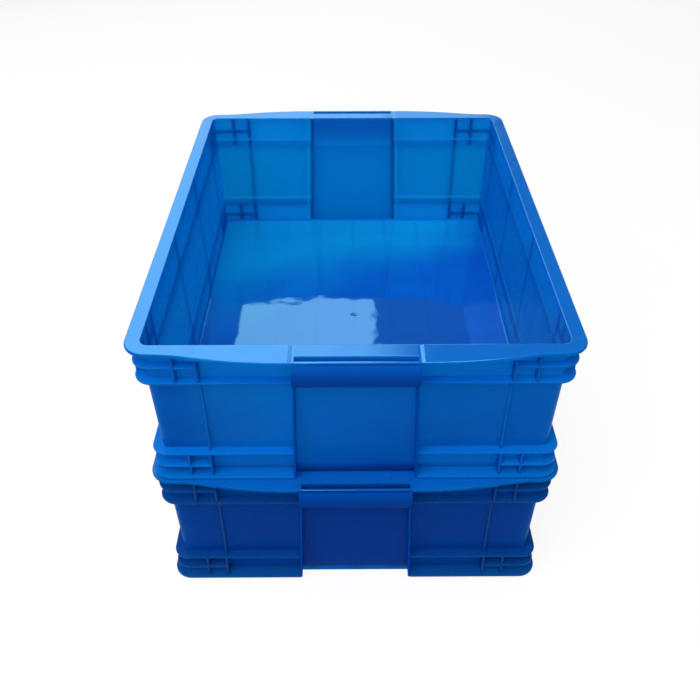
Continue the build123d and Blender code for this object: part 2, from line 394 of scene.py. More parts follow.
def split(tree, value):
    """The three axes of a vector."""
    return add_node(tree, "ShaderNodeSeparateXYZ", {0: value}).outputs


def ramp(tree, value, start, end, low=0.0, high=1.0, interpolation="LINEAR"):
    """A value that runs from low to high while another runs from start to end."""
    inputs = {"Value": value, "From Min": start, "From Max": end, "To Min": low, "To Max": high}
    return result(tree, "ShaderNodeMapRange", inputs, interpolation_type=interpolation)


def new_tree(name, *sizes, counts=()):
    """A geometry tree with inputs for its sizes, its counts and its material."""
    tree = bpy.data.node_groups.new(name, "GeometryNodeTree")
    kinds = {"Geometry": "Geometry"}
    kinds.update({key: "Float" for key in sizes})
    kinds.update({key: "Int" for key in counts})
    kinds["Material"] = "Material"
    for key, kind in kinds.items():
        tree.interface.new_socket(key, in_out="INPUT", socket_type=f"NodeSocket{kind}")
    tree.interface.new_socket("Geometry", in_out="OUTPUT", socket_type="NodeSocketGeometry")
    return tree, tree.nodes.new("NodeGroupInput").outputs


def end_tree(tree, geometry, material):
    """The end that every tree shares: real meshes with their material."""
    real = result(tree, "GeometryNodeRealizeInstances", {"Geometry": geometry})
    painted = result(tree, "GeometryNodeSetMaterial", {"Geometry": real, "Material": material})
    add_node(tree, "NodeGroupOutput", {0: painted})
    return tree


def add_object(name, data):
    """A new object in the scene."""
    made = bpy.data.objects.new(name, data)
    bpy.context.scene.collection.objects.link(made)
    return made


def plain_mesh(holder):
    """The mesh that an object's modifiers make, without the object."""
    made = bpy.data.meshes.new_from_object(holder.evaluated_get(bpy.context.evaluated_depsgraph_get()))
    bpy.data.objects.remove(holder)
    return made


def run_tree(tree, mesh, values):
    """The plain mesh that a tree makes from a mesh, with its named inputs set."""
    holder = add_object(tree.name, mesh)
    modifier = holder.modifiers.new(tree.name, "NODES")
    modifier.node_group = tree
    sockets = {item.name: item.identifier for item in tree.interface.items_tree if item.in_out == "INPUT"}
    for name, value in values.items():
        modifier[sockets[name]] = value
    made = plain_mesh(holder)
    if not made.polygons:
        raise RuntimeError(f"{tree.name} made no faces")
    return made


def points_mesh(name, points, edges=(), attributes=None):
    """A mesh of points and edges only, with number attributes on its points."""
    mesh = bpy.data.meshes.new(name)
    mesh.from_pydata([tuple(p) for p in points], list(edges), [])
    for attribute, values in (attributes or {}).items():
        layer = mesh.attributes.new(attribute, "FLOAT", "POINT")
        layer.data.foreach_set("value", values)
    return mesh


def mesh_from(bm, name, materials=()):
    """A finished mesh with its materials."""
    mesh = bpy.data.meshes.new(name)
    bm.to_mesh(mesh)
    bm.free()
    for material in materials:
        mesh.materials.append(material)
    return mesh


def joined(name, meshes):
    """Several meshes with the same materials as one."""
    bm = bmesh.new()
    for mesh in meshes:
        bm.from_mesh(mesh)
    return mesh_from(bm, name, meshes[0].materials)


def smooth_normals(mesh):
    """The mesh with smooth shading that keeps its flat faces flat."""
    mesh.shade_smooth()
    holder = add_object(mesh.name, mesh)
    weighted = holder.modifiers.new("Even shading", "WEIGHTED_NORMAL")
    weighted.keep_sharp = True
    weighted.weight = 90
    return plain_mesh(holder)


def place_on_crates(sizes, mesh, piece, members):
    """One piece for each crate, riding on it and standing for its CAD members."""
    for crate in CRATES:
        name = f"{crate}_{piece}"
        own = mesh.copy()
        own.name = name
        if crate == "upper":
            own.transform(Matrix.Translation((0, 0, sizes.stack_lift)))
        piece_object = add_object(name, own)
        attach(piece_object, f"{crate}_crate")
        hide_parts(*[f"{crate}_{member}" for member in members])


# Plastic

GLOSS_IOR = 1.33
POLISH_IOR = 3.6
NOISE_RANGE = (0.32, 0.68)
CLOUD_SCALE = 7.0
ROUGH_SCALE = 34.0
GRAIN_SCALE = 620.0
GRAIN_DEPTH = 0.0004
WAVE_DEPTH = 0.004
BAND_EDGE = 0.001
LINE_HALF = 0.0018
LINE_EDGE = 0.0024
ABOVE_RIM = 0.001
STREAKS = (40.0, 40.0, 260.0)
RUB_SHARE = 0.5
GLINT_SHARE = 0.8
BELT_SHARE = 0.45


def clouds(tree, place, scale, low, high, detail=3.0):
    """Soft noise between two values."""
    noise = result(tree, "ShaderNodeTexNoise", {"Vector": place, "Scale": scale, "Detail": detail})
    return ramp(tree, noise, *NOISE_RANGE, low, high)


def rgba(value):
    """A colour with full opacity."""
    return (*value, 1.0)


def blend(tree, factor, first, second):
    """Two colours mixed by a factor."""
    first, second = [value if is_socket(value) else rgba(value) for value in (first, second)]
    inputs = {0: factor, 6: first, 7: second}
    return add_node(tree, "ShaderNodeMix", inputs, data_type="RGBA").outputs[2]


def line_mask(tree, coordinate, centre, half_width=LINE_HALF, softness=LINE_EDGE):
    """1 along a line at a distance from the middle, fading out on both sides."""
    away = maths(tree, "ABSOLUTE", maths(tree, "SUBTRACT", coordinate, centre))
    return ramp(tree, away, half_width, half_width + softness, 1.0, 0.0, "SMOOTHSTEP")


def band_mask(tree, coordinate, low, high, softness=BAND_EDGE):
    """1 between two values, fading out on both sides."""
    return line_mask(tree, coordinate, (low + high) / 2, (high - low) / 2, softness)


def normal_axes(tree):
    """The three axes of the surface's normal."""
    return split(tree, add_node(tree, "ShaderNodeNewGeometry").outputs["Normal"])


class Plastic:
    """The start of a plastic material: its nodes, its coordinates and its cloudy blue."""

    def __init__(self, name, finish, sizes, first, second, translucency, polished=False):
        self.material = bpy.data.materials.new(name)
        self.material.use_nodes = True
        tree = self.material.node_tree
        self.tree = tree
        self.shader = tree.nodes["Principled BSDF"]
        self.place = add_node(tree, "ShaderNodeTexCoord").outputs["Object"]
        self.sideways, self.lengthways, height = split(tree, self.place)
        self.across = maths(tree, "ABSOLUTE", self.sideways)
        self.along = maths(tree, "ABSOLUTE", self.lengthways)
        self.above = maths(tree, "GREATER_THAN", height, sizes.height + ABOVE_RIM)
        self.up = maths(tree, "MULTIPLY_ADD", self.above, -sizes.stack_lift, height)
        self.colour = blend(tree, clouds(tree, self.place, CLOUD_SCALE, 0.0, 1.0), first, second)
        inputs = self.shader.inputs
        inputs["Specular Tint"].default_value = rgba(finish.polish_tint if polished else finish.gloss_tint)
        inputs["Specular IOR Level"].default_value = finish.polish_level if polished else finish.gloss_level
        inputs["IOR"].default_value = POLISH_IOR if polished else GLOSS_IOR
        self.through = add_node(tree, "ShaderNodeBsdfTranslucent", {"Color": rgba(finish.through_blue)})
        layers = {0: translucency, 1: self.shader.outputs[0], 2: self.through.outputs[0]}
        both = result(tree, "ShaderNodeMixShader", layers)
        tree.links.new(both, tree.nodes["Material Output"].inputs["Surface"])

    def dull_below(self, dullness):
        """Make the lower crate less glossy, which stands in the shade of the upper one."""
        socket = self.shader.inputs["Specular IOR Level"]
        dull = (1.0 - dullness) * socket.default_value
        gloss = maths(self.tree, "MULTIPLY_ADD", self.above, socket.default_value - dull, dull)
        self.tree.links.new(gloss, socket)

    def bumps(self, scale, detail, strength, depth, **below):
        """Normals of a bumpy surface, on top of the normals below it."""
        inputs = {"Vector": self.place, "Scale": scale, "Detail": detail}
        noise = result(self.tree, "ShaderNodeTexNoise", inputs)
        heights = {"Height": noise, "Strength": strength, "Distance": depth, **below}
        return result(self.tree, "ShaderNodeBump", heights)

    def finish_with(self, paint, roughness, spread=0.05, grain=0.12, wave=0.05, scale=11.0, detail=1.0):
        """Link colour, roughness with fine variation, and the moulded surface."""
        rough = clouds(self.tree, self.place, ROUGH_SCALE, roughness - spread, roughness + spread, 5.0)
        waves = self.bumps(scale, detail, wave, WAVE_DEPTH)
        normal = self.bumps(GRAIN_SCALE, 2.0, grain, GRAIN_DEPTH, Normal=waves)
        for key, socket in (("Base Color", paint), ("Roughness", rough), ("Normal", normal)):
            self.tree.links.new(socket, self.shader.inputs[key])
        return self.material


def from_bay_middle(plastic, lay):
    """Distance from the middle of an end wall, less the splay of the bay ribs at that height."""
    drop = maths(plastic.tree, "SUBTRACT", lay.sizes.rim_underside, plastic.up)
    return maths(plastic.tree, "MULTIPLY_ADD", drop, -lay.bay_slope, plastic.across)


def outside_plastic(finish, sizes):
    """Satin outside of the crate, a little rubbed along the foot, with painted light between the ribs and on
    the left of the upper crate, and painted shade past the long webs and over all of the lower crate.
    """
    plastic = Plastic("Moulded blue", finish, sizes, finish.blue, finish.deep_blue, finish.translucency)
    tree = plastic.tree
    lay = Layout(sizes)
    streaks = result(tree, "ShaderNodeMapping", {"Vector": plastic.place, "Scale": STREAKS})
    rubbed = clouds(tree, streaks, scale=3.0, low=-1.6, high=1.0, detail=4.0)
    low_edge = band_mask(tree, plastic.up, low=-0.004, high=0.002, softness=0.004)
    rub = times(tree, most(tree, times(tree, low_edge, rubbed), 0.0), RUB_SHARE)
    # Painted light: the walls between the ribs are paler, more so on the upper crate, where light falls and
    # shines through.
    upper_band = band_mask(tree, plastic.up, sizes.upper_rib_top, sizes.rim_underside)
    lower_band = band_mask(tree, plastic.up, sizes.nest_depth, sizes.lower_rib_top)
    paleness = maths(tree, "MULTIPLY_ADD", plastic.above, 0.42, 0.12)
    beyond_bay = maths(tree, "GREATER_THAN", from_bay_middle(plastic, lay), lay.bay_rib_outside)
    in_cells = times(tree, beyond_bay, most(tree, upper_band, lower_band))
    between_ribs = times(tree, in_cells, paleness)
    # Painted light: the upper crate is paler on the left half of its end walls, where more light falls and
    # shines through.
    left_light = times(tree, band_mask(tree, plastic.sideways, low=-0.17, high=-0.10, softness=0.07), 0.3)
    # Painted shade: beyond the long webs of the end walls, round the corners and along the sides, the walls
    # are darker.
    web = sizes.end_main_web
    between_webs = band_mask(tree, plastic.sideways, low=-web, high=web, softness=0.02)
    shade_past_webs = maths(tree, "MULTIPLY_ADD", between_webs, -0.4, 0.4)
    webs_shaded_blue = blend(tree, shade_past_webs, plastic.colour, finish.deep_blue)
    lit_left_blue = blend(tree, left_light, webs_shaded_blue, finish.painted_light_blue)
    # Painted shade: the lower crate takes the deep blue all over, as it stands in the shade of the upper one.
    lower_shaded_blue = blend(tree, plastic.above, finish.deep_blue, lit_left_blue)
    lit_between_ribs = blend(tree, between_ribs, lower_shaded_blue, finish.painted_light_blue)
    plastic.dull_below(0.35)
    return plastic.finish_with(blend(tree, rub, lit_between_ribs, finish.scuff), finish.roughness)


def rib_plastic(finish, sizes):
    """Satin ribs, which let little light through, with painted light on the upper crate's flat tops and
    painted shade all over the lower crate's ribs.
    """
    plastic = Plastic("Ribbed blue", finish, sizes, finish.shaded_rib_blue, finish.shaded_rib_blue, finish.rib_translucency)
    tree = plastic.tree
    level = maths(tree, "ABSOLUTE", normal_axes(tree)[Z])
    # Painted light on the upper crate's flat tops, and painted shade on all of the lower crate's ribs.
    tops = blend(tree, plastic.above, plastic.colour, finish.lit_rib_top_blue)
    uprights = blend(tree, plastic.above, plastic.colour, finish.blue)
    return plastic.finish_with(blend(tree, level, uprights, tops), finish.roughness)


def grip_plastic(finish, sizes):
    """Satin grip lips and bay ribs, which let little light through, darker towards their feet as painted
    shade and paler towards their tops as painted light, more so on the upper crate.
    """
    foot = finish.shaded_grip_blue
    plastic = Plastic("Grip blue", finish, sizes, foot, foot, finish.floor_translucency)
    tree = plastic.tree
    plastic.shader.inputs["Specular IOR Level"].default_value = 0.05
    # Painted light: paler towards the tops of the lips, more so on the upper crate; the dark foot colour is
    # painted shade.
    rise = ramp(tree, plastic.up, sizes.lip_bottom + 0.016, sizes.height)
    paleness = times(tree, rise, maths(tree, "MULTIPLY_ADD", plastic.above, 0.70, 0.30))
    plastic.dull_below(0.8)
    return plastic.finish_with(blend(tree, paleness, plastic.colour, finish.lit_grip_top_blue), finish.grip_roughness)


def rim_plastic(finish, sizes):
    """Polished top of the rim, with a few faint rubbed streaks, and with painted shade on the lower crate's
    rim.
    """
    top = finish.rim_blue
    plastic = Plastic("Polished blue rim", finish, sizes, top, top, finish.floor_translucency, True)
    tree = plastic.tree
    rubbed = most(tree, clouds(tree, plastic.place, scale=46.0, low=-2.4, high=0.6, detail=5.0), 0.0)
    # Painted shade: the lower crate's rim takes the plain blue, as it stands in the shade of the upper one.
    lower_shaded_blue = blend(tree, plastic.above, finish.blue, plastic.colour)
    painted = blend(tree, times(tree, rubbed, 0.12), lower_shaded_blue, finish.scuff)
    plastic.dull_below(0.7)
    return plastic.finish_with(painted, finish.rim_roughness, grain=0.06)


def inside_plastic(finish, sizes):
    """Inside of the walls, painted with the glow of light shining through, paler between the ribs, with
    painted shade as darker lines where the ribs outside stand and painted highlights beside them.
    """
    plastic = Plastic("Glowing blue walls", finish, sizes, finish.glow_blue, finish.blue, finish.translucency)
    tree = plastic.tree
    up = plastic.up
    lay = Layout(sizes)
    # Painted glow: the side walls let through light of a darker tint than the end walls.
    bright = finish.through_blue
    side_through = (bright[0], 0.72 * bright[1], bright[2])
    on_end = maths(tree, "GREATER_THAN", maths(tree, "ABSOLUTE", normal_axes(tree)[Y]), 0.7)
    on_side = maths(tree, "SUBTRACT", 1.0, on_end)
    tree.links.new(blend(tree, on_end, side_through, bright), plastic.through.inputs["Color"])
    from_bay = from_bay_middle(plastic, lay)
    beyond_bay = maths(tree, "GREATER_THAN", from_bay, lay.bay_rib_outside)
    upper_band = band_mask(tree, up, lay.plain_top, sizes.height)
    lower_band = band_mask(tree, up, 0.0, sizes.lower_rib_top)
    in_bands = most(tree, upper_band, lower_band)

    # Painted shade: the ribs outside block light through the wall, painted here as darker lines where they
    # stand.
    outwards = 0.002
    end_long = line_mask(tree, plastic.across, sizes.end_main_web + outwards)
    end_bay = line_mask(tree, from_bay, lay.bay_rib_outside - LINE_HALF)
    end_short = times(tree, in_bands, line_mask(tree, plastic.across, sizes.end_short_web + outwards))
    end_webs = times(tree, on_end, most(tree, end_long, end_bay, end_short))
    side_first = line_mask(tree, plastic.along, sizes.side_middle_web)
    side_long = line_mask(tree, plastic.along, sizes.side_main_web)
    side_short = times(tree, in_bands, line_mask(tree, plastic.along, sizes.side_short_web))
    side_webs = times(tree, on_side, most(tree, side_first, side_long, side_short))

    past_end_web = times(tree, on_end, maths(tree, "GREATER_THAN", plastic.across, sizes.end_main_web))
    past_side_web = times(tree, on_side, maths(tree, "GREATER_THAN", plastic.along, sizes.side_main_web))
    upper_belt = line_mask(tree, up, sizes.upper_rib_top + 0.004, half_width=0.0012, softness=0.002)
    lower_belt = line_mask(tree, up, sizes.lower_rib_top + 0.006, half_width=0.003, softness=0.003)
    long_belts = times(tree, times(tree, beyond_bay, most(tree, upper_belt, lower_belt)), BELT_SHARE)
    high_corner = line_mask(tree, up, sizes.upper_corner_rib_top)
    low_corner = line_mask(tree, up, sizes.lower_corner_rib_top)
    short_belts = times(tree, most(tree, past_end_web, past_side_web), most(tree, high_corner, low_corner))

    lines = most(tree, end_webs, side_webs, long_belts, short_belts)
    half_shade = 0.5 * finish.rib_shade
    shade = times(tree, lines, maths(tree, "MULTIPLY_ADD", on_end, half_shade, half_shade))
    # Painted light: paler walls between the ribs.
    low_cells = times(tree, lower_band, most(tree, on_side, beyond_bay))
    between_ribs = times(tree, most(tree, upper_band, low_cells), 0.5)
    # Painted shade behind each grip, and painted glow on the end walls beyond the bay ribs, stronger than on
    # the sides.
    ends = blend(tree, beyond_bay, finish.deep_blue, finish.end_glow)
    walls = blend(tree, times(tree, on_end, 0.8), plastic.colour, ends)
    lit_between_ribs = blend(tree, between_ribs, walls, finish.painted_light_blue)
    shaded = blend(tree, shade, lit_between_ribs, [0.4 * c for c in finish.deep_blue])

    # Painted highlights: pale lines just above the belts and beside the bay ribs, where their lit faces show
    # through the wall.
    upper_glint = line_mask(tree, up, sizes.upper_rib_top + 0.009, half_width=0.001, softness=0.002)
    lower_glint = line_mask(tree, up, sizes.lower_rib_top + 0.0145, half_width=0.0015, softness=0.003)
    bay_glint = line_mask(tree, from_bay, lay.bay_rib_outside + 0.006, half_width=0.001, softness=0.003)
    belt_glints = times(tree, beyond_bay, most(tree, upper_glint, lower_glint))
    glints = most(tree, belt_glints, times(tree, on_end, bay_glint))
    painted = blend(tree, times(tree, glints, GLINT_SHARE), shaded, finish.glint)
    return plastic.finish_with(painted, finish.inside_roughness, grain=0.10, wave=0.08)


def floor_plastic(finish, sizes):
    """Polished floor, paler towards its back left as painted light, with the grid of ribs below painted as
    faint lines of shade.
    """
    front = finish.floor_blue
    plastic = Plastic("Polished blue floor", finish, sizes, front, front, finish.floor_translucency, True)
    tree = plastic.tree
    # Painted light: the floor runs paler towards its back left, where more light falls.
    slant = maths(tree, "MULTIPLY_ADD", plastic.sideways, -0.5, plastic.lengthways)
    wander = maths(tree, "ADD", slant, clouds(tree, plastic.place, scale=5.0, low=-0.05, high=0.05))
    paleness = ramp(tree, wander, start=0.04, end=0.26, interpolation="SMOOTHSTEP")
    plain = blend(tree, paleness, plastic.colour, finish.lit_floor_blue)
    # Painted shade: faint darker lines where the ribs under the floor stand, seen through it.
    lines = []
    cells = ((plastic.across, sizes.floor_cell_width), (plastic.along, sizes.floor_cell_length))
    for coordinate, pitch in cells:
        nearest = maths(tree, "PINGPONG", coordinate, pitch / 2)
        lines.append(line_mask(tree, nearest, 0.0, sizes.floor_rib_thickness / 2, softness=0.002))
    uneven = clouds(tree, plastic.place, scale=4.0, low=0.01, high=0.15)
    shade = times(tree, most(tree, *lines), uneven)
    dark = [0.5 * c for c in finish.deep_blue]
    shaded = blend(tree, shade, plain, dark)
    flat = vector(tree, X=plastic.across, Y=plastic.along)
    from_middle = add_node(tree, "ShaderNodeVectorMath", {0: flat}, operation="LENGTH").outputs["Value"]
    gate = line_mask(tree, from_middle, 0.0, sizes.gate_radius * 0.75, softness=0.001)
    painted = blend(tree, times(tree, gate, 0.8), shaded, dark)
    surface = {"spread": 0.015, "grain": 0.03, "wave": 0.18, "scale": 16.0, "detail": 2.0}
    return plastic.finish_with(painted, finish.floor_roughness, **surface)


PLASTICS = {
    "Moulded blue": outside_plastic,
    "Ribbed blue": rib_plastic,
    "Grip blue": grip_plastic,
    "Polished blue rim": rim_plastic,
    "Glowing blue walls": inside_plastic,
    "Polished blue floor": floor_plastic,
}


def material_named(context, name):
    """A plastic of the crate, made the first time it is asked for."""
    found = bpy.data.materials.get(name)
    return found or PLASTICS[name](context.scene.plastic_finish, context.scene.crate_sizes)


# Body: walls, rim, grips and bay ribs in one moulding

EDGE, LIP_BACK, GROOVE, GROOVE_BACK, STIFFENER, SKIN, INSIDE = range(7)
CORNER_STEPS = 12
WING_STEPS = 7
BOW_STEPS = 12
LIP_STEPS = 8
RIM_EDGE_STEPS = 4
EDGE_STEPS = 2
FLAT_ANGLE = radians(0.1)
BEND_ANGLE = radians(1)
SHARP_ANGLE = radians(40)
CREASE_ANGLE = radians(50)
SEAM_LEVEL = 0.96
TOP_LEVEL = 0.95
BODY_PLASTICS = ("Moulded blue", "Glowing blue walls", "Polished blue rim", "Grip blue", "Ribbed blue")
Station = namedtuple("Station", "x y out_x out_y bow in_bay")


def spaced(first, last, steps):
    """Evenly spaced values from first to last, both included."""
    return [first + (last - first) * step / steps for step in range(steps + 1)]


def quarter_stations(lay):
    """Stations round a quarter of the rim, from the middle of a side to the middle of an end."""
    s = lay.sizes
    half = s.rib_thickness / 2
    side_ys = [0.0]
    for web in (s.side_middle_web, s.side_main_web):
        side_ys += [web - half, web + half]
    stations = [Station(lay.half_width, y, 1.0, 0.0, 0.0, False) for y in side_ys]
    for step in range(CORNER_STEPS + 1):
        angle = step / CORNER_STEPS * pi / 2
        out_x, out_y = cos(angle), sin(angle)
        x = lay.corner_x + s.corner_radius * out_x
        y = lay.corner_y + s.corner_radius * out_y
        stations.append(Station(x, y, out_x, out_y, 0.0, False))
    end_xs = spaced(lay.corner_x, s.end_main_web + half, WING_STEPS)[1:]
    end_xs += spaced(s.end_main_web - half, s.bow_straight_half, BOW_STEPS)
    end_xs += [lay.seam_outside, lay.bay_rib_outside, s.bay_half_width, 0.0]
    for x in end_xs:
        in_bay = x <= lay.bay_rib_outside + TINY
        stations.append(Station(x, lay.half_length, 0.0, 1.0, lay.bow(x), in_bay))
    return stations


def ring_stations(lay):
    """Stations all round the rim, anticlockwise from the middle of the right side."""
    quarter = quarter_stations(lay)
    half = list(quarter)
    for p in reversed(quarter[:-1]):
        half.append(p._replace(x=-p.x, out_x=-p.out_x))
    turned = [p._replace(x=-p.x, y=-p.y, out_x=-p.out_x, out_y=-p.out_y) for p in half]
    return half[:-1] + turned[:-1]


def body_levels(lay):
    """Heights at which the body changes."""
    s = lay.sizes
    levels = [0.0, s.nest_depth, s.lower_rib_top, lay.plain_top, s.upper_rib_top]
    levels += spaced(s.lip_bottom, s.groove_floor - s.channel_thickness, LIP_STEPS)
    return levels + [s.groove_floor, s.rim_underside, s.height]


def inset_at(lay, station, depth, z):
    """Straight rim edge to one of the body's depths at a station and height."""
    s = lay.sizes
    if depth == INSIDE:
        return lay.inside_inset(z)
    if depth == SKIN:
        return lay.skin_inset(z)
    if depth == STIFFENER:
        return s.stiffener_inset
    if station.in_bay and z > s.upper_rib_top + TINY:
        on_wing = z > s.rim_underside - TINY and abs(station.x) > s.bay_half_width + TINY
        lip_face = -station.bow if on_wing else lay.half_length - lay.lip_face(z)
        lip_back = lay.half_length - lay.lip_back(z)
        pad_edge = -s.pad_overhang
        return (lip_face, lip_back, pad_edge, pad_edge + s.channel_thickness)[depth]
    outermost = s.bay_rib_inset if station.in_bay else -station.bow
    return outermost + (s.stiffener_inset - outermost) * depth / STIFFENER


def body_point(lay, station, depth, z):
    """Where a corner of the body's cells lies."""
    s = lay.sizes
    inset = inset_at(lay, station, depth, z)
    in_seam = station.in_bay and abs(abs(station.x) - lay.bay_rib_outside) < TINY and z > s.height - TINY
    dip = s.pad_seam_depth if in_seam else 0.0
    x = lay.splayed(station.x, z) if abs(station.out_y) == 1.0 else station.x
    return (x - inset * station.out_x, station.y - inset * station.out_y, z - dip)


def column_kind(lay, first, second):
    """What stands between two neighbouring stations."""
    s = lay.sizes
    x = abs(first.x + second.x) / 2
    y = abs(first.y + second.y) / 2
    half = s.rib_thickness / 2
    if x < lay.corner_x and y > lay.corner_y:
        if x < s.bay_half_width:
            return "bay"
        if x < lay.bay_rib_outside:
            return "bay rib"
        webs = (s.end_main_web,)
        place = x
    else:
        webs = (s.side_middle_web, s.side_main_web) if y < lay.corner_y else ()
        place = y
    return "stiffener" if any(abs(place - web) < half for web in webs) else "plain"


def is_filled(lay, kind, depth, low, high):
    """True if the body is solid between two depths and two heights of a column."""
    s = lay.sizes

    def between(bottom, top):
        return low > bottom - TINY and high < top + TINY

    if depth == SKIN:
        return True
    if kind == "bay":
        spans = {
            EDGE: (s.lip_bottom, s.height),
            LIP_BACK: (s.groove_floor - s.channel_thickness, s.groove_floor),
            GROOVE: (s.groove_floor - s.channel_thickness, s.height),
        }
        return between(*spans.get(depth, (s.rim_underside, s.height)))
    if low > s.rim_underside - TINY:
        return True
    if kind == "bay rib":
        return low > s.nest_depth - TINY
    if kind == "stiffener":
        return depth == STIFFENER and between(s.lower_rib_top, lay.plain_top)
    return False


def body_cells(lay):
    """The body's outer faces as a mesh of cells, and the edges of its mouth and rim to round more."""
    stations = ring_stations(lay)
    levels = body_levels(lay)
    count = len(stations)
    kinds = [column_kind(lay, stations[i], stations[(i + 1) % count]) for i in range(count)]
    filled = {
        (i, depth, k)
        for i in range(count)
        for depth in range(INSIDE)
        for k in range(len(levels) - 1)
        if is_filled(lay, kinds[i], depth, levels[k], levels[k + 1])
    }
    bm = bmesh.new()
    corners = {}
    rounded = set()

    def corner(i, depth, k):
        key = (i % count, depth, k)
        if key not in corners:
            station = stations[key[0]]
            vert = bm.verts.new(body_point(lay, station, depth, levels[k]))
            corners[key] = vert
            on_lip = depth == EDGE and station.in_bay and abs(station.x) < lay.bay_rib_outside - TINY
            if depth in (EDGE, GROOVE, INSIDE) and levels[k] > lay.sizes.height - TINY and not on_lip:
                rounded.add(vert)
        return corners[key]

    sides = {
        (1, 0, 0): ((1, 0, 0), (1, 1, 0), (1, 1, 1), (1, 0, 1)),
        (-1, 0, 0): ((0, 0, 0), (0, 0, 1), (0, 1, 1), (0, 1, 0)),
        (0, 1, 0): ((0, 1, 0), (0, 1, 1), (1, 1, 1), (1, 1, 0)),
        (0, -1, 0): ((0, 0, 0), (1, 0, 0), (1, 0, 1), (0, 0, 1)),
        (0, 0, 1): ((0, 0, 1), (1, 0, 1), (1, 1, 1), (0, 1, 1)),
        (0, 0, -1): ((0, 0, 0), (0, 1, 0), (1, 1, 0), (1, 0, 0)),
    }
    for i, depth, k in sorted(filled):
        for (di, dd, dk), face in sides.items():
            if ((i + di) % count, depth + dd, k + dk) not in filled:
                bm.faces.new([corner(i + a, depth + b, k + c) for a, b, c in face])
    return bm, rounded


def sharp_edges(bm, angle):
    """Edges between two faces that meet at more than an angle."""
    return [e for e in bm.edges if len(e.link_faces) == 2 and e.calc_face_angle() > angle]


def round_edges(bm, edges, radius, segments):
    """Round edges, outwards and inwards."""
    shape = {"offset_type": "OFFSET", "profile": 0.5, "affect": "EDGES", "clamp_overlap": False}
    bmesh.ops.bevel(bm, geom=edges, offset=radius, segments=segments, loop_slide=True, **shape)


def plastic_of(lay, face):
    """The plastic of one face of the body."""
    points = [v.co for v in face.verts]
    if all(lay.is_inside(p) for p in points):
        return "Glowing blue walls"
    # Grooves and stiffeners take the rib plastic; its painted light makes their flat faces paler on the upper
    # crate.
    if all(lay.is_in_groove(p) or lay.is_on_stiffener(p) for p in points):
        return "Ribbed blue"
    if face.normal.z > TOP_LEVEL and face.calc_center_median().z > lay.sizes.rim_underside:
        return "Polished blue rim"
    return "Grip blue" if all(lay.is_on_grip_web(p) for p in points) else "Moulded blue"


def body_mesh(context):
    """The body of a crate on the ground: walls, rim, grips and bay ribs."""
    sizes = context.scene.crate_sizes
    lay = Layout(sizes)
    bm, rounded = body_cells(lay)
    bmesh.ops.recalc_face_normals(bm, faces=bm.faces)
    bmesh.ops.dissolve_limit(bm, angle_limit=FLAT_ANGLE, verts=bm.verts, edges=bm.edges)
    loose = [e for e in bm.edges if len(e.link_faces) != 2]
    if loose:
        raise RuntimeError(f"the body has {len(loose)} open edges")
    rounded = {v for v in rounded if v.is_valid}
    rim_edges = [e for e in sharp_edges(bm, SHARP_ANGLE) if rounded.issuperset(e.verts)]
    round_edges(bm, rim_edges, sizes.rim_edge_radius, RIM_EDGE_STEPS)
    sharp = sharp_edges(bm, SHARP_ANGLE)
    moulded_edges = [e for e in sharp if not all(lay.is_at_groove_end(v.co) for v in e.verts)]
    round_edges(bm, moulded_edges, sizes.edge_radius, EDGE_STEPS)
    bmesh.ops.recalc_face_normals(bm, faces=bm.faces)
    for edge in sharp_edges(bm, BEND_ANGLE):
        in_seam = all(face.normal.z > SEAM_LEVEL for face in edge.link_faces)
        edge.smooth = not in_seam and edge.calc_face_angle() < CREASE_ANGLE
    for face in bm.faces:
        face.material_index = BODY_PLASTICS.index(plastic_of(lay, face))
    return smooth_normals(mesh_from(bm, "body", [material_named(context, name) for name in BODY_PLASTICS]))


class CRATE_OT_bodies(bpy.types.Operator):
    """Make the walls, rim, hand grips and bay ribs of both crates"""

    bl_idname = "crate.bodies"
    bl_label = "Bodies"

    def execute(self, context):
        members = [f"{wall}_{part}" for wall in (*ENDS, *SIDES) for part in ("wall", "rim")]
        for end in ENDS:
            members += [f"{end}_grip_channel", f"{end}_grip_lip"]
            members += [f"{end}_{side}_bay_rib" for side in SIDES]
        place_on_crates(context.scene.crate_sizes, body_mesh(context), "body", members)
        return {"FINISHED"}


# Ribs outside the walls

BITE = 0.001
WEB_SET_BACK = 0.0003
SECTION_STEPS = 3


def rounded_section(tree, width, height, radius, shift):
    """A rectangle with rounded corners, moved sideways by a share of its width."""
    plain = result(tree, "GeometryNodeCurvePrimitiveQuadrilateral", {"Width": width, "Height": height})
    offset = vector(tree, X=times(tree, width, shift))
    moved = result(tree, "GeometryNodeTransform", {"Geometry": plain, "Translation": offset})
    corners = {"Curve": moved, "Count": SECTION_STEPS, "Radius": radius, "Limit Radius": True}
    return result(tree, "GeometryNodeFilletCurve", corners, mode="POLY")


def swept(tree, path, section):
    """A closed bar of one section along a path."""
    inputs = {"Curve": path, "Profile Curve": section, "Fill Caps": True}
    return result(tree, "GeometryNodeCurveToMesh", inputs)


def rib_belt_tree():
    """A rib of rounded section that follows a path round the crate, on the path's inner side."""
    tree, given = new_tree("Rib belt", "Depth", "Thickness", "Edge Radius", "Corner Radius")
    path = result(tree, "GeometryNodeMeshToCurve", {"Mesh": given["Geometry"]})
    corners = {"Curve": path, "Count": CORNER_STEPS, "Radius": given["Corner Radius"]}
    turned = result(tree, "GeometryNodeFilletCurve", corners, mode="POLY")
    upright = result(tree, "GeometryNodeSetCurveNormal", {"Curve": turned}, mode="Z_UP")
    section = rounded_section(tree, given["Depth"], given["Thickness"], given["Edge Radius"], -0.5)
    return end_tree(tree, swept(tree, upright, section), given["Material"])


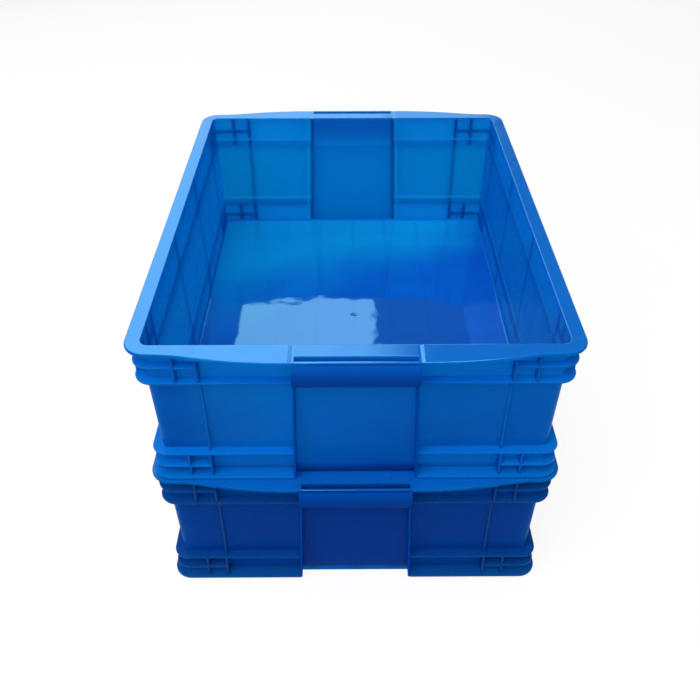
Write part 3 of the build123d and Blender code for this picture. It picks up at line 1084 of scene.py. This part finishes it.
def web_tree():
    """Upright webs of one height on points, turned to face inwards."""
    tree, given = new_tree("Upright webs", "Depth", "Thickness", "Edge Radius", "Height")
    ends = {"Start": (0, 0, 0), "End": vector(tree, Z=given["Height"])}
    line = result(tree, "GeometryNodeCurvePrimitiveLine", ends)
    facing = result(tree, "GeometryNodeSetCurveNormal", {"Curve": line, "Normal": (1, 0, 0)}, mode="FREE")
    section = rounded_section(tree, given["Depth"], given["Thickness"], given["Edge Radius"], 0.5)
    turn = result(tree, "GeometryNodeInputNamedAttribute", {"Name": "turn"}, data_type="FLOAT")
    rotation = result(tree, "FunctionNodeAxisAngleToRotation", {"Axis": (0, 0, 1), "Angle": turn})
    places = {"Points": given["Geometry"], "Instance": swept(tree, facing, section), "Rotation": rotation}
    return end_tree(tree, result(tree, "GeometryNodeInstanceOnPoints", places), given["Material"])


class RibMaker:
    """Makes belts and webs of one crate on the ground."""

    def __init__(self, context):
        self.sizes = context.scene.crate_sizes
        self.lay = Layout(self.sizes)
        self.belt_tree = rib_belt_tree()
        self.web_tree = web_tree()
        self.shared = {
            "Edge Radius": self.sizes.rib_edge_radius,
            "Material": material_named(context, "Ribbed blue"),
        }

    def belt(self, corner_points, inset, top, thickness):
        """A belt along a path whose corner points lie on the belt's tip."""
        middle = top - thickness / 2
        points = [(x, y, middle) for x, y in corner_points]
        path = points_mesh("path", points, [(i, i + 1) for i in range(len(points) - 1)])
        depth = self.lay.skin_inset(middle) + BITE - inset
        turn = self.sizes.corner_radius - inset
        values = {"Depth": depth, "Thickness": thickness, "Corner Radius": turn, **self.shared}
        return run_tree(self.belt_tree, path, values)

    def tips(self, inset):
        """Middle of the crate to the tips of a belt on the right and at the back."""
        return self.lay.half_width - inset, self.lay.half_length - inset

    def long_belts(self, inset, top, thickness):
        """A belt on each half of the crate, from one hand-grip bay to the other."""
        x, y = self.tips(inset)
        start = self.lay.bay_rib_outside + self.lay.splay(top) - BITE / 2
        right = [(start, -y), (x, -y), (x, y), (start, y)]
        left = [(-a, -b) for a, b in right]
        return [self.belt(points, inset, top, thickness) for points in (right, left)]

    def corner_belts(self, inset, top, thickness):
        """A short belt round each corner, between the long webs."""
        x, y = self.tips(inset)
        near_x = self.sizes.end_main_web
        near_y = self.sizes.side_main_web
        corners = [
            [(x, near_y), (x, y), (near_x, y)],
            [(-near_x, y), (-x, y), (-x, near_y)],
            [(-x, -near_y), (-x, -y), (-near_x, -y)],
            [(near_x, -y), (x, -y), (x, -near_y)],
        ]
        return [self.belt(points, inset, top, thickness) for points in corners]

    def webs(self, inset, bottom, top):
        """All upright webs between two heights."""
        s = self.sizes
        x, y = self.tips(inset + WEB_SET_BACK)
        places = []
        turns = []
        for along in (s.end_main_web, s.end_short_web):
            for side in SIDES.values():
                for end in ENDS.values():
                    places.append((side * along, end * y, bottom - BITE / 2))
                    turns.append(-end * pi / 2)
        for along in (s.side_middle_web, s.side_main_web, s.side_short_web, s.side_corner_web):
            for end in ENDS.values():
                for side in SIDES.values():
                    places.append((side * x, end * along, bottom - BITE / 2))
                    turns.append(pi if side > 0 else 0.0)
        depth = self.lay.skin_inset(bottom) + BITE - inset
        height = top - bottom + BITE
        values = {"Depth": depth, "Thickness": s.rib_thickness, "Height": height, **self.shared}
        return run_tree(self.web_tree, points_mesh("places", places, (), {"turn": turns}), values)


class CRATE_OT_ribs(bpy.types.Operator):
    """Make the belts and webs outside the walls of both crates"""

    bl_idname = "crate.ribs"
    bl_label = "Ribs"

    def execute(self, context):
        s = context.scene.crate_sizes
        make = RibMaker(context)
        upper = make.long_belts(s.upper_rib_inset, s.upper_rib_top, s.rib_thickness)
        upper += make.corner_belts(s.upper_rib_inset, s.upper_corner_rib_top, s.rib_thickness)
        upper.append(make.webs(s.upper_rib_inset, s.upper_rib_top, s.rim_underside))
        lower = make.long_belts(s.lower_rib_inset, s.lower_rib_top, s.rib_thickness)
        lower += make.corner_belts(s.lower_rib_inset, s.lower_corner_rib_top, s.rib_thickness)
        lower += make.long_belts(s.flange_inset, make.lay.flange_top, s.flange_thickness)
        lower.append(make.webs(s.lower_rib_inset, make.lay.flange_top, s.lower_rib_top - s.rib_thickness))
        for band, meshes in (("upper_ribs", upper), ("lower_ribs", lower)):
            members = [f"{side}_{band}" for side in SIDES]
            members += [f"{end}_{side}_{band}" for end in ENDS for side in SIDES]
            place_on_crates(s, smooth_normals(joined(band, meshes)), band, members)
        return {"FINISHED"}


# Floor

FILLET_STEPS = 5
CROWN_STEPS = 16
GATE_STEPS = 20
FLAT_LEVEL = 0.97
GATE_PROFILE = (
    (1.25, -0.0004),
    (1.25, 0.0),
    (1.15, 0.0004),
    (1.0, 0.0005),
    (0.85, 0.0004),
    (0.7, 0.0001),
    (0.35, 0.0001),
    (0.25, 0.0006),
)


def floor_grid_tree():
    """The grid of ribs under the floor, as bars of rounded section on two lines of points."""
    rib = ("Rib Thickness", "Rib Height", "Edge Radius")
    spread = ("Cell Width", "Cell Length", "Width", "Length")
    tree, given = new_tree("Floor rib grid", *rib, *spread, counts=("Columns", "Rows"))

    def bars(cells, pitch, run, across, along):
        """Bars along one axis, spaced out along the other."""
        start, end = [vector(tree, **{along: times(tree, run, sign)}) for sign in (-0.5, 0.5)]
        line = result(tree, "GeometryNodeCurvePrimitiveLine", {"Start": start, "End": end})
        upright = result(tree, "GeometryNodeSetCurveNormal", {"Curve": line}, mode="Z_UP")
        section = rounded_section(tree, *[given[key] for key in rib], 0.0)
        edge = times(tree, times(tree, cells, pitch), -0.5)
        row = {
            "Count": maths(tree, "SUBTRACT", cells, 1.0),
            "Start Location": vector(tree, **{across: maths(tree, "ADD", edge, pitch)}),
            "Offset": vector(tree, **{across: pitch}),
        }
        places = result(tree, "GeometryNodeMeshLine", row)
        bar = swept(tree, upright, section)
        return result(tree, "GeometryNodeInstanceOnPoints", {"Points": places, "Instance": bar})

    long_bars = bars(given["Columns"], given["Cell Width"], given["Length"], "X", "Y")
    cross_bars = bars(given["Rows"], given["Cell Length"], given["Width"], "Y", "X")
    both = add_node(tree, "GeometryNodeJoinGeometry", {0: long_bars})
    tree.links.new(cross_bars, both.inputs[0])
    return end_tree(tree, both.outputs[0], given["Material"])


def outline_loop(bm, lay, inset, z):
    """A ring of corners along the rounded crate outline, some way inside the rim's edge."""
    radius = lay.sizes.corner_radius - inset
    ring = []
    for start, sign_x, sign_y in ((0, 1, 1), (1, -1, 1), (2, -1, -1), (3, 1, -1)):
        for step in range(CORNER_STEPS + 1):
            angle = (start + step / CORNER_STEPS) * pi / 2
            x = sign_x * lay.corner_x + radius * cos(angle)
            y = sign_y * lay.corner_y + radius * sin(angle)
            ring.append(bm.verts.new((x, y, z)))
    return ring


def bridge(bm, lower, upper):
    """Faces between two rings of the same count."""
    for i in range(len(lower)):
        j = (i + 1) % len(lower)
        bm.faces.new((lower[i], lower[j], upper[j], upper[i]))


def turned_ring(bm, radius, z):
    """A ring of corners round the middle of the floor."""
    angles = [step / GATE_STEPS * 2 * pi for step in range(GATE_STEPS)]
    return [bm.verts.new((radius * cos(a), radius * sin(a), z)) for a in angles]


def crown_top(bm, lay, top):
    """Cut the floor's top face into a grid and let it swell up towards the middle."""
    half_x = max(v.co.x for v in top.verts)
    half_y = max(v.co.y for v in top.verts)
    pieces = [top]
    for axis, half in ((X, half_x), (Y, half_y)):
        for place in spaced(-half, half, CROWN_STEPS)[1:-1]:
            point = Vector((0.0, 0.0, 0.0))
            point[axis] = place
            facing = Vector((0.0, 0.0, 0.0))
            facing[axis] = 1.0
            geometry = {item for face in pieces for item in (face, *face.edges, *face.verts)}
            cut = bmesh.ops.bisect_plane(bm, geom=list(geometry), plane_co=point, plane_no=facing)
            pieces = [item for item in cut["geom"] if isinstance(item, bmesh.types.BMFace)]
    for vert in {v for face in pieces for v in face.verts}:
        across = 1 - (vert.co.x / half_x) ** 2
        along = 1 - (vert.co.y / half_y) ** 4
        vert.co.z += lay.sizes.floor_crown * max(0.0, across * along)


def floor_plate(context):
    """The floor plate with its rounded foot of the walls and the moulding mark in the middle."""
    s = context.scene.crate_sizes
    lay = Layout(s)
    underside = s.floor_top - s.floor_thickness
    outer = lay.inside_inset(s.floor_top) - s.wall_thickness / 2
    bm = bmesh.new()
    rings = [outline_loop(bm, lay, outer, underside)]
    rings.append(outline_loop(bm, lay, outer, s.floor_top + s.floor_fillet))
    for step in range(FILLET_STEPS + 1):
        angle = step / FILLET_STEPS * pi / 2
        inset = lay.inside_inset(s.floor_top + s.floor_fillet) + s.floor_fillet * (1 - cos(angle))
        ring_z = s.floor_top + s.floor_fillet * (1 - sin(angle))
        rings.append(outline_loop(bm, lay, inset, ring_z))
    for lower, upper in zip(rings, rings[1:]):
        bridge(bm, lower, upper)
    bm.faces.new(list(reversed(rings[0])))
    crown_top(bm, lay, bm.faces.new(rings[-1]))
    middle = s.floor_top + s.floor_crown
    circles = [turned_ring(bm, s.gate_radius * wide, middle + rise) for wide, rise in GATE_PROFILE]
    for lower, upper in zip(circles, circles[1:]):
        bridge(bm, lower, upper)
    bm.faces.new(list(reversed(circles[0])))
    bm.faces.new(circles[-1])
    bmesh.ops.recalc_face_normals(bm, faces=bm.faces)
    for face in bm.faces:
        centre = face.calc_center_median()
        # The fillet takes the rib plastic, whose painted light draws a paler line along the foot of the upper
        # crate's walls.
        on_fillet = face.normal.z < FLAT_LEVEL and centre.xy.length > 10 * s.gate_radius
        face.material_index = 1 if on_fillet else 0
    plastics = [material_named(context, name) for name in ("Polished blue floor", "Ribbed blue")]
    return mesh_from(bm, "floor plate", plastics)


def floor_grid(context):
    """The ribs under the floor of a crate on the ground."""
    s = context.scene.crate_sizes
    lay = Layout(s)
    height = s.floor_top - s.floor_thickness + BITE - s.floor_rib_bottom
    wall = lay.inside_inset(s.floor_rib_bottom) - BITE
    values = {
        "Columns": s.floor_columns,
        "Rows": s.floor_rows,
        "Cell Width": s.floor_cell_width,
        "Cell Length": s.floor_cell_length,
        "Rib Thickness": s.floor_rib_thickness,
        "Rib Height": height,
        "Edge Radius": s.edge_radius,
        "Width": 2 * (lay.half_width - wall),
        "Length": 2 * (lay.half_length - wall),
        "Material": material_named(context, "Ribbed blue"),
    }
    grid = run_tree(floor_grid_tree(), points_mesh("start", [(0, 0, 0)]), values)
    grid.transform(Matrix.Translation((0, 0, s.floor_rib_bottom + height / 2)))
    return grid


class CRATE_OT_floors(bpy.types.Operator):
    """Make the floors of both crates with the rib grid under them"""

    bl_idname = "crate.floors"
    bl_label = "Floors"

    def execute(self, context):
        plate = floor_plate(context)
        grid = floor_grid(context)
        grid.polygons.foreach_set("material_index", [1] * len(grid.polygons))
        whole = smooth_normals(joined("floor", [plate, grid]))
        place_on_crates(context.scene.crate_sizes, whole, "floor_plate", ["floor"])
        return {"FINISHED"}


# Studio

FLOOR_SIZE = 40.0
PAPER_DULLNESS = 0.2
HORIZON_RISE = (0.02, 0.16)
BACKDROP_RISE = 0.13


def seen_directly(tree):
    """1 for what the camera sees, straight or in a glossy or clear surface."""
    path = add_node(tree, "ShaderNodeLightPath").outputs
    return most(tree, path["Is Camera Ray"], path["Is Glossy Ray"], path["Is Transmission Ray"])


def floor_paper(stage):
    """Pale studio paper: it looks pale, and throws little light back at the crates."""
    material = bpy.data.materials.new("Studio paper")
    material.use_nodes = True
    tree = material.node_tree
    inputs = tree.nodes["Principled BSDF"].inputs
    inputs["Base Color"].default_value = rgba([PAPER_DULLNESS * c for c in stage.floor_colour])
    inputs["Emission Color"].default_value = rgba(stage.floor_colour)
    tree.links.new(times(tree, seen_directly(tree), stage.floor_glow), inputs["Emission Strength"])
    inputs["Roughness"].default_value = 0.9
    inputs["Specular IOR Level"].default_value = 0.0
    return material


def studio_floor(stage):
    """The wide sheet of paper on which the crates stand."""
    bm = bmesh.new()
    bmesh.ops.create_grid(bm, x_segments=1, y_segments=1, size=0.5)
    floor = add_object("studio_floor", mesh_from(bm, "studio_floor", [floor_paper(stage)]))
    floor.scale = (FLOOR_SIZE, FLOOR_SIZE, 1.0)


def studio_world(stage):
    """Even light over a pale horizon, which stands higher where the camera sees it."""
    world = bpy.data.worlds.new("Studio")
    world.use_nodes = True
    tree = world.node_tree
    rise = split(tree, add_node(tree, "ShaderNodeTexCoord").outputs["Generated"])[Z]
    lowered = maths(tree, "MULTIPLY_ADD", seen_directly(tree), -BACKDROP_RISE, rise)
    level = ramp(tree, lowered, *HORIZON_RISE, stage.horizon_level, stage.world_level)
    inputs = tree.nodes["Background"].inputs
    inputs["Color"].default_value = (1.0, 1.0, 1.0, 1.0)
    tree.links.new(level, inputs["Strength"])
    return world


def area_light(name, power, size, place, target, reflected=True):
    """A soft rectangular lamp that faces a point."""
    data = bpy.data.lights.new(name, "AREA")
    data.shape = "RECTANGLE"
    data.size, data.size_y = size
    data.energy = power
    lamp = add_object(name, data)
    lamp.location = place
    lamp.rotation_euler = (Vector(target) - Vector(place)).to_track_quat("-Z", "Y").to_euler()
    lamp.visible_camera = False
    lamp.visible_glossy = reflected


class CRATE_OT_studio(bpy.types.Operator):
    """Make the studio floor, the lights and the camera"""

    bl_idname = "crate.studio"
    bl_label = "Studio"

    def execute(self, context):
        scene = context.scene
        stage = scene.studio_stage
        studio_floor(stage)
        scene.world = studio_world(stage)

        behind = ((3.12, 3.4), (-1.21, 2.95, 2.6), (-0.31, 0.8, 2.6))
        area_light("back_card", stage.card_level, *behind)
        area_light("back_fill", stage.fill_level, *behind, reflected=False)
        area_light("pad_card", stage.pad_level, (0.10, 0.5), (0.34, 3.606, 3.68), (0.05, -0.36, 0.44))
        area_light("side_card", stage.side_level, (0.6, 1.6), (0.55, 3.6, 1.5), (0.2, 0.0, 1.0))
        area_light("top_box", stage.top_level, (1.6, 1.6), (0.0, -0.2, 2.8), (0.0, -0.2, 0.0))
        area_light("front_box", stage.box_level, (6.0, 3.4), (-1.0, -2.4, 2.9), (0.0, 0.0, 0.3))

        camera_data = bpy.data.cameras.new("camera")
        camera_data.lens = stage.lens
        camera_data.shift_x = -0.0025
        camera = add_object("camera", camera_data)
        camera.location = (-0.0094, -1.0672, 1.0148)
        camera.rotation_euler = (radians(51.41), 0.0, -0.0059)
        scene.camera = camera
        scene.view_settings.view_transform = "Standard"
        return {"FINISHED"}


class CRATE_PT_panel(bpy.types.Panel):
    """Lists the crate's pieces with their sizes and colours"""

    bl_idname = "CRATE_PT_panel"
    bl_label = "Stacking Crate"
    bl_space_type = "VIEW_3D"
    bl_region_type = "UI"
    bl_category = "Crate"

    def draw(self, context):
        layout = self.layout
        for operator in OPERATORS:
            layout.operator(operator.bl_idname)
        for group in (context.scene.crate_sizes, context.scene.plastic_finish, context.scene.studio_stage):
            box = layout.box()
            for name in group.__annotations__:
                box.prop(group, name)


OPERATORS = (CRATE_OT_bodies, CRATE_OT_ribs, CRATE_OT_floors, CRATE_OT_studio)
GROUPS = {"crate_sizes": CrateSizes, "plastic_finish": PlasticFinish, "studio_stage": StudioStage}
CLASSES = (*GROUPS.values(), *OPERATORS, CRATE_PT_panel)


def register():
    """Add the crate's settings, operators and panel."""
    for cls in CLASSES:
        bpy.utils.register_class(cls)
    for name, group in GROUPS.items():
        setattr(bpy.types.Scene, name, bpy.props.PointerProperty(type=group))


def unregister():
    """Take the crate's settings, operators and panel away again."""
    for name in GROUPS:
        delattr(bpy.types.Scene, name)
    for cls in reversed(CLASSES):
        bpy.utils.unregister_class(cls)


def main():
    """Make every piece and the studio."""
    register()
    bpy.ops.crate.bodies()
    bpy.ops.crate.ribs()
    bpy.ops.crate.floors()
    bpy.ops.crate.studio()


if __name__ == "__main__":
    main()
